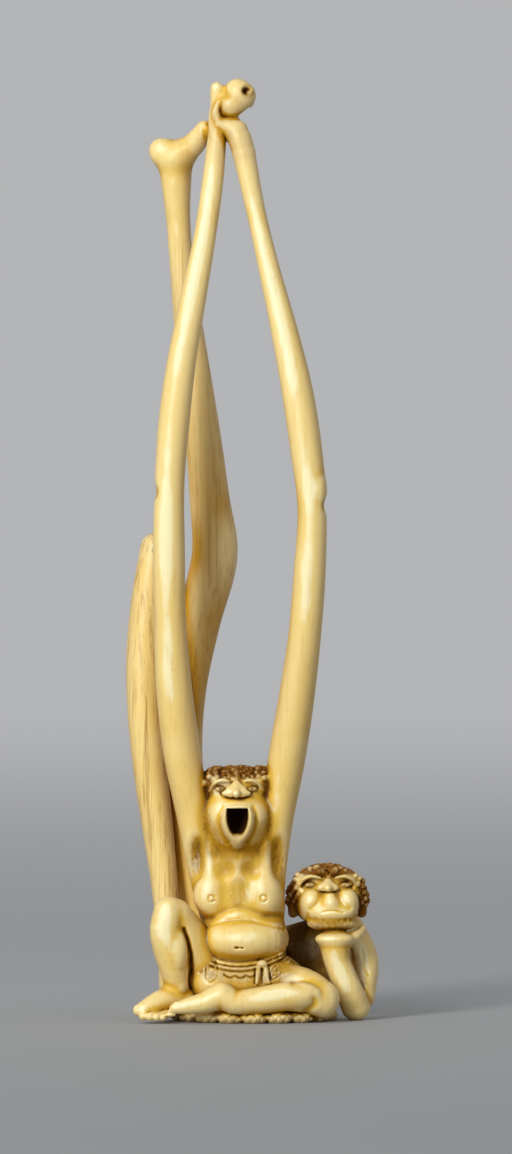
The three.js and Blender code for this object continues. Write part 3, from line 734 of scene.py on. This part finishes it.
def leaf(x, z, long, wide, turn):
    """The lines of a leaf: its outline, a midrib, and three curls on each side of it."""
    lines = [
        [[long * math.cos(t), wide * math.sin(t)] for t in np.linspace(0, 2 * math.pi, 21)],
        [[-long, 0], [long, 0]],
    ]
    for along in (0, 0.5 * long, 0.9 * long):
        for side in (-1, 1):
            lines.append([
                [-0.6 * long + along, 0],
                [-0.3 * long + along, side * 0.55 * wide],
                [-0.1 * long + along, side * 0.3 * wide],
            ])
    return [[
        [x + u * math.cos(turn) - v * math.sin(turn), z + u * math.sin(turn) + v * math.cos(turn)]
        for u, v in line
    ] for line in lines]


def sculpt_skirt(field):
    """A short cloth with a double waistband, a scalloped border, a knot and leaves cut on it."""
    across = np.linspace(-6.4, 5.6, 25)
    for drop in (0.15, 0.65):
        field.add(Limb([field.on(x, waist(x) - drop, -0.12) + [0.3] for x in across]), blend=0.1)
    field.engrave([[[x, waist(x) - 0.4] for x in across]], 0.1, 0.15, back=-2.0)
    field.engrave([[[x, waist(x) - 1.0] for x in across]], 0.14, 0.22, back=-2.0)
    scallops = [
        [x, waist(x) - 1.55 - 0.32 * abs(math.sin(2.1 * (x + 3.6)))] for x in np.linspace(-3.6, 0.7, 30)
    ]
    field.engrave([scallops], 0.13, 0.28, back=-2.0)
    # the knot and its hanging ends
    field.add(Ball(field.on(1.5, waist(1.5) - 0.5), [0.75, 0.5, 0.6]), blend=0.1)
    for x, lean in ((1.05, -0.1), (1.95, 0.15)):
        stations = [field.on(x + lean * t, 7.3 - 0.6 * t, -0.05) + [0.38] for t in range(4)]
        field.add(Limb(stations), blend=0.08)
    edges = [[[0.55, 7.2], [0.5, 5.3]], [[1.5, 7.2], [1.5, 5.3]], [[2.5, 7.2], [2.6, 5.6]]]
    field.engrave(edges, 0.1, 0.25, back=-2.0)
    leaves = []
    for x, z, long, wide, lean in (
        (-5.3, 6.9, 1.5, 0.75, 80), (3.6, 7.0, 1.4, 0.6, 50), (5.3, 7.6, 1.2, 0.75, 20),
        (6.8, 6.9, 1.0, 0.5, -30),
        (-6.9, 7.6, 0.9, 0.4, 100),
    ):
        leaves += leaf(x, z, long, wide, math.radians(lean))
    field.engrave(leaves, 0.12, 0.26, back=-2.0)
    field.mark("stain_and_shade", 0.6, 1.4, Ball([-0.4, -6, 6.7], [6.6, 5, 1.8]))


# ---------------------------------------------------------------- the recliner
CHIN = 10.6  # the middle of the recliner's face, left to right


def sculpt_recliner_body(field):
    field.add(Limb([[10.5, 5.5, 9.4, 4.4], [5.5, 6.2, 7.6, 4.7], [0, 6.5, 5.8, 4.6], [-4.5, 6.0, 5.2, 4.6]]),
              blend=1.0)
    field.add(Limb([[12.6, 5.6, 12.0, 2.6], [15.1, 3.2, 8.0, 2.05], [14.8, 0.2, 3.2, 1.95]]), blend=0.7)
    field.add(Limb([
        [14.1, -1.2, 1.8, 1.95], [13.1, -2.2, 4.4, 1.95], [11.6, -2.6, 8.0, 1.75], [11.3, -2.6, 10.4, 2.1],
    ]), blend=0.35)
    # the back of the hand under the chin, with its thumb along the jaw
    field.add(Ball([11.25, -3.2, 11.0], [2.6, 1.9, 1.05]), blend=0.6)
    field.add(Limb([[12.8, -3.0, 10.8, 0.8], [14.1, -2.3, 11.4, 0.7], [15.0, -1.2, 12.2, 0.55]]), blend=0.3)
    field.engrave([
        [[13.6, 9.4], [13.8, 7.6], [14.4, 5.9], [15.3, 4.2]],
        [[15.0, 9.3], [15.2, 7.7], [15.8, 6.0]],
    ], 0.2, 0.14, back=2.5)
    field.mark("stain_and_shade", 0.6, 1.2, Ball([14.3, 0.5, 7.2], [0.6, 4, 3.2], turn=(0, -18, 0)))
    # painted shadow in the recess behind the sitter's side, where the recliner's body lies in shade
    field.mark("ink_and_shade", 0.7, 2.4, Ball([7.3, 2.6, 10.0], [3.4, 4.8, 4.4]))
    field.mark("stain_and_shade", 0.9, 2.4, Ball([7.6, 2.6, 10.0], [4.2, 5.2, 4.8]))


def sculpt_recliner_head(field):
    head = field.part([CHIN - 7, -8, 8], [CHIN + 6.5, 9, 23])
    head.add(
        Ball([CHIN - 0.35, 1.3, 16.5], [4.9, 4.6, 4.2]),
        Ball([CHIN, -1.4, 15.1], [3.95, 3.3, 3.1]),
        blend=0.9,
    )
    head.add(*balls(CHIN, 2.3, -2.6, 15.9, [1.6, 1.9, 1.9]), blend=0.6)
    head.add(Limb([[CHIN, -4.1, 17.0, 0.45], [CHIN + 0.2, -4.3, 15.9, 0.8]]), blend=0.9)
    head.add(Ball([CHIN + 0.4, -3.4, 14.5], [2.6, 1.5, 0.9]), blend=0.8)
    head.add(Ball([CHIN + 0.35, -2.4, 13.0], [3.3, 2.0, 1.0]), blend=0.6)
    head.engrave([
        [[CHIN + 0.4 + 1.5 * t, 14.85 - 0.25 * t * t] for t in np.linspace(-1, 1, 9)],
    ], 0.12, 0.14, back=-2.0)
    head.engrave([
        [[CHIN - 1.2, 17.0], [CHIN - 1.4, 16.3], [CHIN - 2.0, 15.6], [CHIN - 2.6, 15.1]],
        [[CHIN + 1.2, 17.0], [CHIN + 1.5, 16.3], [CHIN + 2.1, 15.7], [CHIN + 2.6, 15.3]],
    ], 0.4, 0.2, back=-1.0)
    nose = CHIN - 0.25
    head.add(*[
        Limb([[nose, -3.3, 18.75, 0.28], [nose + aside, -4.0, 17.95, thick]])
        for aside, thick in ((-1.05, 0.42), (-0.5, 0.55), (0.5, 0.55), (1.05, 0.42))
    ], blend=0.3)
    head.add(Limb([[nose, -3.3, 18.75, 0.28], [nose, -4.7, 17.9, 0.5]]), blend=0.45)
    head.cut(*balls(nose, 0.8, -4.8, 17.7, [0.36, 0.45, 0.2]), blend=0.12)
    head.engrave([
        [[nose - 1.6, 17.7], [nose - 1.1, 17.4], [nose, 17.3], [nose + 1.1, 17.4], [nose + 1.6, 17.7]],
    ], 0.12, 0.16, back=-2.0)
    head.cut(*balls(nose, 2.5, -3.7, 18.3, [1.1, 1.0, 0.55]), blend=0.35)
    head.add(*balls(nose, 2.4, -2.5, 18.25, [0.64, 0.68, 0.3]), blend=0.04)
    head.cut(*balls(nose, 2.35, -3.2, 18.3, [0.22, 0.35, 0.2]), blend=0.05)
    head.engrave([arc([nose + side * 2.4, 18.3], [0.82, 0.36], 0, 180, 12) for side in (-1, 1)], 0.1, 0.16,
                 back=-1.0)
    head.mark("stain_and_shade", 0.6, 1.0, *balls(nose, 2.6, -3.2, 18.35, [1.2, 1.5, 0.6]))
    head.mark("ink_and_shade", 0.6, 0.4, *balls(nose, 2.3, -3.2, 18.2, [0.22, 0.6, 0.12]))
    head.add(*limbs(nose, [
        [1.0, -3.1, 19.2, 0.15],
        [2.3, -2.9, 19.45, 0.26],
        [3.4, -2.3, 18.9, 0.26],
        [3.9, -1.6, 17.9, 0.18],
    ]), blend=0.22)
    random = np.random.default_rng(8)
    beard = []
    for x in np.linspace(-3.5, 3.8, 44):
        low = 12.1 + 0.09 * x * x + random.uniform(0, 0.15)
        high = low + random.uniform(0.7, 1.35)
        beard.append([[CHIN + 0.3 + x, low], [CHIN + 0.3 + 0.94 * x + random.uniform(-0.1, 0.1), high]])
    head.engrave(beard, 0.1, 0.1, back=1.0)
    head.mark("stain_and_shade", 0.75, 1.2, Ball([CHIN + 0.3, -2, 12.6], [4.2, 4, 1.2]))
    sculpt_recliner_hair(head)
    field.join(head, 0.15)


def sculpt_recliner_hair(field):
    middle = CHIN - 0.3
    field.mark("stain_and_shade", 1.4, 1.2, Ball([middle, 1.6, 20.0], [5.4, 5.2, 1.3]))
    field.mark("stain_and_shade", 1.4, 1.2, *balls(middle, 4.9, 0.6, 16.2, [1.3, 4.4, 3.6]))
    field.mark("stain_and_shade", 1.4, 1.2, Ball([middle, 3.6, 17.4], [5.2, 3.9, 4.2]))
    field.add(*limbs(middle, [
        [0.8, -1.9, 20.0, 0.55],
        [3.3, -1.3, 19.3, 0.7],
        [4.5, -0.4, 17.0, 0.75],
        [4.6, -0.1, 14.4, 0.7],
    ]), blend=0.4)

    def allowed(d):
        hairline = 0.70 - 2.0 * max(abs(d[0]) - 0.55, 0) ** 0.8 - 1.3 * max(d[1] + 0.15, 0)
        return d[2] > max(hairline, -0.75)

    curls(field, [middle, 1.2, 16.4], np.array([5.0, 4.7, 4.2]), allowed, 620, 0.4)


def sculpt_mat(field):
    """The low base: overlapping leaves round its edge."""
    middle = np.array([0.4, -0.4, 0.7])
    reach = np.array([10.6, 9.8, 1.3])
    leaves = 11
    field.add(Ball(middle, reach), blend=0.5)
    for swing in np.radians(np.linspace(-100, 100, leaves)):
        edge = middle + 0.9 * reach * [math.sin(swing), -math.cos(swing), 0]
        field.add(Ball(edge, [1.9, 1.7, 0.85]), blend=0.25)
    lines = []
    for index in range(9):
        x = -8.8 + 2.2 * index
        lines.append(arc([x, 0.1], [1.0, 1.15], 5, 175))
        lines += [[[x, 0.15], [x + lean, 0.95]] for lean in (-0.55, -0.2, 0.2, 0.55)]
    field.engrave(lines, 0.11, 0.17, back=0.0)
    field.mark("stain_and_shade", 0.5, 1.2, Ball([0.4, -0.4, 0.2], [13, 12, 1.6]))


def sculpt():
    """The whole carving. The order counts: a later form covers or follows the surface of an earlier one."""
    field = Field(
        spread((-17.8, 18.2, GRID)),
        spread((-13.2, 12.4, GRID)),
        spread((-0.6, FIGURES_TOP, GRID), (FIGURES_TOP, HANDS_BOTTOM, COARSE),
               (HANDS_BOTTOM, HEIGHT + 1.0, GRID)),
    )
    sculpt_recliner_body(field)
    sculpt_long_legs(field)
    sculpt_sitter_body(field)
    sculpt_arms(field)
    sculpt_sitter_chest(field)
    sculpt_hands(field)
    sculpt_mat(field)
    sculpt_skirt(field)
    sculpt_sitter_legs(field)
    sculpt_sitter_head(field)
    sculpt_recliner_head(field)
    np.maximum(field.values, -field.axes[2], out=field.values)
    return field


# ---------------------------------------------------------------- the mesh
def softened(values, reach):
    """Values averaged over a box of 2 * reach + 1 grid steps each way, twice over."""
    for axis in (0, 1, 2, 0, 1, 2):
        padded = np.concatenate([
            np.repeat(np.take(values, [0], axis), reach + 1, axis),
            values,
            np.repeat(np.take(values, [-1], axis), reach, axis),
        ], axis)
        total = np.cumsum(padded, axis=axis, dtype=np.float32)
        size = values.shape[axis]
        high = np.take(total, np.arange(2 * reach + 1, 2 * reach + 1 + size), axis)
        low = np.take(total, np.arange(size), axis)
        values = (high - low) / (2 * reach + 1)
    return values


def mesh_piece(name, points, faces):
    """A piece from points in millimetres of the carving's own frame and four-sided faces."""
    mesh = bpy.data.meshes.new(name)
    mesh.vertices.add(len(points))
    mesh.vertices.foreach_set("co", ((points + ORIGIN) * MM).astype(np.float32).ravel())
    mesh.loops.add(faces.size)
    mesh.loops.foreach_set("vertex_index", faces.ravel().astype(np.int32))
    mesh.polygons.add(len(faces))
    mesh.polygons.foreach_set("loop_start", np.arange(0, faces.size, 4, dtype=np.int32))
    mesh.update(calc_edges=True)
    mesh.validate()
    piece = bpy.data.objects.new(name, mesh)
    bpy.context.scene.collection.objects.link(piece)
    return piece


def thinned(piece, triangles):
    """Leaves out the points that flat stretches don't need."""
    faces = sum(len(polygon.vertices) - 2 for polygon in piece.data.polygons)
    modifier = piece.modifiers.new("thin", "DECIMATE")
    modifier.ratio = min(1.0, triangles / faces)
    evaluated = piece.evaluated_get(bpy.context.evaluated_depsgraph_get())
    mesh = bpy.data.meshes.new_from_object(evaluated)
    piece.modifiers.clear()
    piece.data = mesh
    mesh.polygons.foreach_set("use_smooth", np.ones(len(mesh.polygons), bool))
    mesh.update()


def paint(piece, name, values):
    """Keeps a number for each point of the piece, for its material to read."""
    attribute = piece.data.attributes.new(name, "FLOAT", "POINT")
    attribute.data.foreach_set("value", values.astype(np.float32))


def carved_piece():
    """The carving as a mesh, with the values that its material reads."""
    field = sculpt()
    points, faces = field.surface()
    piece = mesh_piece("carving", points, faces)
    thinned(piece, TRIANGLES)
    count = len(piece.data.vertices)
    places = np.empty(count * 3, np.float32)
    piece.data.vertices.foreach_get("co", places)
    places = places.reshape(-1, 3) / MM - ORIGIN.astype(np.float32)
    # a point sits in a hollow where more than half of what is round it is ivory
    solid = np.clip(0.5 - field.values / (2 * GRID), 0, 1)
    heights = places[:, 2]
    bare = (heights > FIGURES_TOP + BARE) & (heights < HANDS_BOTTOM - BARE)
    change = np.minimum(abs(heights - FIGURES_TOP), abs(heights - HANDS_BOTTOM))
    clear = np.clip(change / CHANGE_WIDTH - CHANGE_START, 0, 1)
    for name, reach in (("fine_hollow", FINE_REACH), ("wide_hollow", WIDE_REACH)):
        hollow = np.clip((field.sample(places, softened(solid, reach)) - 0.5) * HOLLOW_CONTRAST, -1, 1)
        # where the grid changes its step, the middle value of the bare limbs stands in
        paint(piece, name, hollow * clear + np.median(hollow[bare]) * (1 - clear))
    for name in field.marks:
        paint(piece, name, field.marked(name, places))
    return piece


# ---------------------------------------------------------------- the ivory
class Nodes:
    """Adds nodes to a material. Each call returns an output socket, and takes sockets or plain values."""

    def __init__(self, material):
        self.nodes = material.node_tree.nodes
        self.links = material.node_tree.links
        self.place = self.nodes.new("ShaderNodeTexCoord").outputs["Object"]

    def put(self, socket, value):
        """Links another socket to a socket, or sets its plain value."""
        if isinstance(value, bpy.types.NodeSocket):
            self.links.new(value, socket)
        else:
            socket.default_value = value

    def attribute(self, name):
        node = self.nodes.new("ShaderNodeAttribute")
        node.attribute_name = name
        return node.outputs["Fac"]

    def math(self, operation, a, b):
        node = self.nodes.new("ShaderNodeMath")
        node.operation = operation
        self.put(node.inputs[0], a)
        self.put(node.inputs[1], b)
        return node.outputs[0]

    def plus(self, a, b):
        return self.math("ADD", a, b)

    def minus(self, a, b):
        return self.math("SUBTRACT", a, b)

    def times(self, a, b):
        return self.math("MULTIPLY", a, b)

    def scaled(self, value, low, high, to_low=0.0, to_high=1.0):
        """A value taken smoothly from one range to another, and held at its ends."""
        node = self.nodes.new("ShaderNodeMapRange")
        node.interpolation_type = "SMOOTHSTEP"
        self.put(node.inputs["Value"], value)
        for name, number in (("From Min", low), ("From Max", high), ("To Min", to_low), ("To Max", to_high)):
            node.inputs[name].default_value = number
        return node.outputs[0]

    def mix(self, share, a, b):
        node = self.nodes.new("ShaderNodeMix")
        node.data_type = "RGBA"
        self.put(node.inputs[0], share)
        self.put(node.inputs[6], a)
        self.put(node.inputs[7], b)
        return node.outputs[2]

    def noise(self, scale, stretch=(1, 1, 1), detail=3.0, roughness=0.55, seed=0.0):
        """Noise with about scale blots to the millimetre."""
        placed = self.nodes.new("ShaderNodeMapping")
        placed.inputs["Scale"].default_value = [part / MM for part in stretch]
        placed.inputs["Location"].default_value = (seed, 1.7 * seed, 0.3 * seed)
        self.links.new(self.place, placed.inputs["Vector"])
        node = self.nodes.new("ShaderNodeTexNoise")
        node.inputs["Scale"].default_value = scale
        node.inputs["Detail"].default_value = detail
        node.inputs["Roughness"].default_value = roughness
        self.links.new(placed.outputs[0], node.inputs["Vector"])
        return node.outputs["Fac"]


def ivory():
    """Old ivory: a painted highlight, pale, where it faces the light, and painted shade, honey, elsewhere;
    brown where stain has settled, and painted shade in the deepest hollows.
    """
    material = bpy.data.materials.new("ivory")
    material.use_nodes = True
    make = Nodes(material)
    shader = make.nodes["Principled BSDF"]
    fine = make.attribute("fine_hollow")
    wide = make.attribute("wide_hollow")
    stain_and_shade = make.attribute("stain_and_shade")
    grain = make.attribute("grain")

    clouds = make.noise(0.13, stretch=(1, 1, 0.45), detail=4)
    # painted highlight and shade: honey on the sides turned from LIGHT_SIDE, cream towards it, and worn pale
    # where the surface faces it squarely
    towards = make.nodes.new("ShaderNodeVectorMath")
    towards.operation = "DOT_PRODUCT"
    make.links.new(make.nodes.new("ShaderNodeNewGeometry").outputs["Normal"], towards.inputs[0])
    towards.inputs[1].default_value = LIGHT_SIDE
    painted_light_and_tone = make.plus(towards.outputs["Value"], make.scaled(clouds, 0.3, 0.7, -0.1, 0.1))
    painted_light_and_tone = make.minus(painted_light_and_tone, make.times(grain, 0.16))
    painted_light_and_tone = make.minus(painted_light_and_tone, make.times(make.attribute("honey"), 0.45))
    colour = make.mix(make.scaled(painted_light_and_tone, 0.35, 0.96), IVORY_HONEY_AND_SHADE, IVORY_CREAM)
    colour = make.mix(make.scaled(painted_light_and_tone, 0.9, 1.0, 0, 0.95), colour, IVORY_WORN_AND_HIGHLIGHT)
    worn = make.scaled(make.plus(fine, wide), 0.0, -0.6)
    colour = make.mix(make.times(worn, 0.5), colour, IVORY_WORN_AND_HIGHLIGHT)
    # long streaks of the tusk's own grain
    streaks = make.noise(1.0, stretch=(1.9, 1.9, 0.04), detail=5, roughness=0.65, seed=3)
    colour = make.mix(make.times(make.scaled(streaks, 0.48, 0.7), make.scaled(grain, 0, 1, 0.15, 0.75)),
                      colour, IVORY_OCHRE)
    thin = make.noise(1.0, stretch=(5.5, 5.5, 0.12), detail=3, seed=9)
    colour = make.mix(make.times(make.scaled(thin, 0.60, 0.74), make.scaled(grain, 0, 1, 0.05, 0.5)),
                      colour, IVORY_BROWN)
    # stain, and painted shade in some recesses: broad and thin first, then dark in the cut lines
    patches = make.noise(1.0, stretch=(2.0, 2.0, 0.8), detail=5, roughness=0.7, seed=5)
    broad = make.times(stain_and_shade, make.scaled(patches, 0.3, 0.62, 0.6, 1.0))
    proud = make.scaled(fine, -0.15, -0.55)
    broad = make.times(broad, make.minus(0.9, make.times(proud, 0.22)))
    colour = make.mix(broad, colour, IVORY_TOBACCO)
    hollow = make.times(make.scaled(wide, 0.05, 0.8), 0.7)
    colour = make.mix(hollow, colour, IVORY_OCHRE)
    cut = make.scaled(make.plus(fine, make.times(stain_and_shade, 0.3)), 0.25, 0.85)
    cut = make.times(cut, make.scaled(patches, 0.25, 0.6, 0.55, 0.95))
    colour = make.mix(cut, colour, IVORY_BROWN)
    # tiny dark specks in the pores
    specks = make.noise(3.6, detail=1, seed=12)
    colour = make.mix(make.scaled(specks, 0.72, 0.8, 0, 0.3), colour, IVORY_BROWN)
    # ink in the pupils, and painted shade in the gullet and the deepest holes
    colour = make.mix(make.attribute("ink_and_shade"), colour, IVORY_DARK)
    make.put(shader.inputs["Base Color"], colour)

    pores = make.noise(4.5, detail=2, seed=7)
    shine = make.scaled(pores, 0.3, 0.7, 0.38, 0.5)
    dull = make.plus(make.plus(cut, stain_and_shade), make.times(make.attribute("ink_and_shade"), 2.5))
    shine = make.plus(shine, make.times(dull, 0.16))
    make.put(shader.inputs["Roughness"], shine)
    bump = make.nodes.new("ShaderNodeBump")
    bump.inputs["Strength"].default_value = 0.15
    bump.inputs["Distance"].default_value = 0.06 * MM
    height = make.plus(make.noise(2.2, detail=4, seed=2), make.times(thin, grain))
    make.put(bump.inputs["Height"], height)
    make.put(shader.inputs["Normal"], bump.outputs["Normal"])
    make.put(shader.inputs["Coat Weight"], make.scaled(dull, 0, 0.6, 0.15, 0.0))
    make.put(shader.inputs["Specular IOR Level"], make.scaled(dull, 0, 0.7, 0.4, 0.08))
    for name, value in (
        ("IOR", 1.47),
        ("Coat Roughness", 0.3),
        ("Coat IOR", 1.45),
        ("Subsurface Weight", 0.06),
        ("Subsurface Radius", (1.0, 0.75, 0.35)),
        ("Subsurface Scale", 0.7 * MM),
    ):
        shader.inputs[name].default_value = value
    return material


# ---------------------------------------------------------------- stage
def key_light():
    """One tall light in front, to the left and above."""
    data = bpy.data.lights.new("key", "AREA")
    data.shape = "RECTANGLE"
    data.size, data.size_y = KEY_SIZE
    data.energy = KEY_POWER
    light = bpy.data.objects.new("key", data)
    light.location = KEY_PLACE
    light.rotation_euler = (Vector(KEY_TARGET) - Vector(KEY_PLACE)).to_track_quat("-Z", "Y").to_euler()
    bpy.context.scene.collection.objects.link(light)


def backdrop():
    """A round floor whose edge fades out into the plain air behind it."""
    turns = np.linspace(0, 2 * math.pi, FLOOR_SIDES, endpoint=False)
    rim = [(FLOOR_REACH * math.cos(t), FLOOR_REACH * math.sin(t), 0) for t in turns]
    mesh = bpy.data.meshes.new("floor")
    mesh.from_pydata(rim, [], [list(range(FLOOR_SIDES))])
    floor = bpy.data.objects.new("floor", mesh)
    bpy.context.scene.collection.objects.link(floor)
    material = bpy.data.materials.new("floor")
    material.use_nodes = True
    make = Nodes(material)
    shader = make.nodes["Principled BSDF"]
    away = make.nodes.new("ShaderNodeVectorMath")
    away.operation = "LENGTH"
    make.links.new(make.place, away.inputs[0])
    along = make.nodes.new("ShaderNodeSeparateXYZ")
    make.links.new(make.place, along.inputs[0])
    # painted shade: the floor is painted darker towards the front, nearer the camera, and paler behind
    colour = make.mix(make.scaled(along.outputs["Y"], -0.35, 0.1), FLOOR_NEAR_SHADED, FLOOR_FAR)
    make.put(shader.inputs["Base Color"], colour)
    make.put(shader.inputs["Alpha"], make.scaled(away.outputs["Value"], 0.0, 0.95 * FLOOR_REACH, 1, 0))
    shader.inputs["Roughness"].default_value = 0.7
    mesh.materials.append(material)


def camera():
    """A long lens, level with the carving but for a slight look down."""
    data = bpy.data.cameras.new("camera")
    data.sensor_fit = "VERTICAL"
    data.sensor_height = SENSOR_HEIGHT
    data.lens = LENS
    distance = data.lens / data.sensor_height * VIEW_HEIGHT
    backwards = Vector((0, -math.cos(VIEW_ELEVATION), math.sin(VIEW_ELEVATION)))
    piece = bpy.data.objects.new("camera", data)
    piece.location = Vector(VIEW_TARGET) + distance * backwards
    piece.rotation_euler = (math.pi / 2 - VIEW_ELEVATION, 0, 0)
    data.clip_end = 20
    bpy.context.scene.collection.objects.link(piece)
    bpy.context.scene.camera = piece


def studio():
    """Plain grey air all round, and the one light."""
    world = bpy.data.worlds.new("world")
    bpy.context.scene.world = world
    world.use_nodes = True
    background = world.node_tree.nodes["Background"]
    background.inputs["Color"].default_value = AIR_COLOUR
    background.inputs["Strength"].default_value = AIR_STRENGTH
    key_light()
    bpy.context.scene.view_settings.view_transform = "Standard"


carving = carved_piece()
carving.data.materials.clear()
carving.data.materials.append(ivory())
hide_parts("netsuke")
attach(carving, "root")
backdrop()
camera()
studio()
